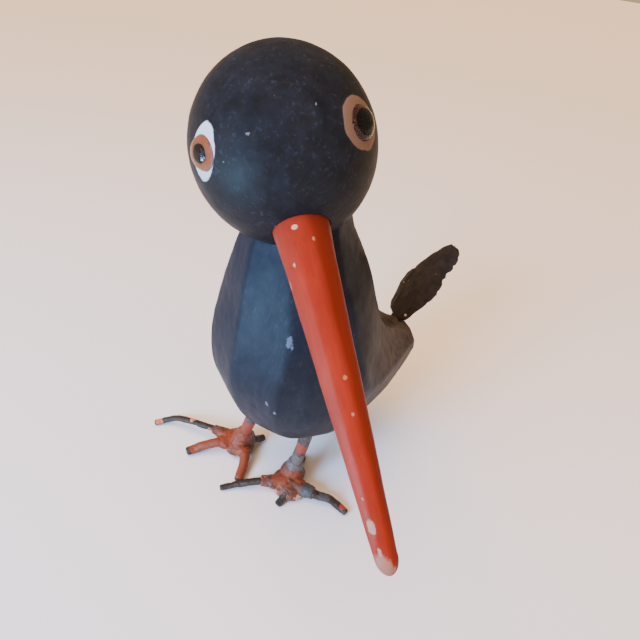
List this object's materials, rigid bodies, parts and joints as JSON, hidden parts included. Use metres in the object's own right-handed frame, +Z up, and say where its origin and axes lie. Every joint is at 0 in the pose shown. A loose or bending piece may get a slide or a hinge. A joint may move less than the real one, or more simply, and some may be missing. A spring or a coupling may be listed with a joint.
{
  "type": "carved bird figurine",
  "caption": "Small carved wooden bird with a ball head that turns on a dowel, a long drooping bill, glass eyes, a thin cocked tail and bent wire feet.",
  "frame": {"origin": "on the floor, below the centre of the bounding box", "axes": "+Z up, -Y the way the breast faces, +X the bird's own left side"},
  "size_m": [0.1163, 0.1025, 0.148],
  "materials": {
    "body_paint": "satin dark blue-black paint",
    "bill_paint": "chipped orange-red paint",
    "bare_wood": "bare turned wood",
    "eye_glass": "clear polished",
    "left_iris": "dark garnet",
    "right_iris": "amber brown",
    "pupil": "opaque black",
    "eye_wire": "drawn",
    "tail": "stiff, black, rough edged",
    "leg_metal": "worn orange paint over grey metal",
    "toe_metal": "dark, rough, with worn orange paint",
    "solder": "rough orange-brown paint over solder"
  },
  "bodies": {
    "body": {"body": "body_paint", "neck_dowel": "bare_wood", "tail_feather": "tail", "left_leg": "leg_metal", "left_foot_joint": "solder", "left_outer_toe": "toe_metal", "left_middle_toe": "toe_metal", "left_inner_toe": "toe_metal", "left_hind_toe": "toe_metal", "right_leg": "leg_metal", "right_foot_joint": "solder", "right_outer_toe": "toe_metal", "right_middle_toe": "toe_metal", "right_inner_toe": "toe_metal", "right_hind_toe": "toe_metal"},
    "head": {"head_ball": "body_paint", "bill": "bill_paint", "left_eye_glass": "eye_glass", "left_eye_iris": "left_iris", "left_eye_pupil": "pupil", "left_eye_shank": "eye_wire", "right_eye_glass": "eye_glass", "right_eye_iris": "right_iris", "right_eye_pupil": "pupil", "right_eye_shank": "eye_wire"}
  },
  "joints": [
    {"name": "head_swivel", "type": "hinge", "parent": "body", "child": "head", "pos_m": [-0.02, -0.0226, 0.1249], "axis": [0, -0.2924, 0.9563], "continuous": true}
  ]
}
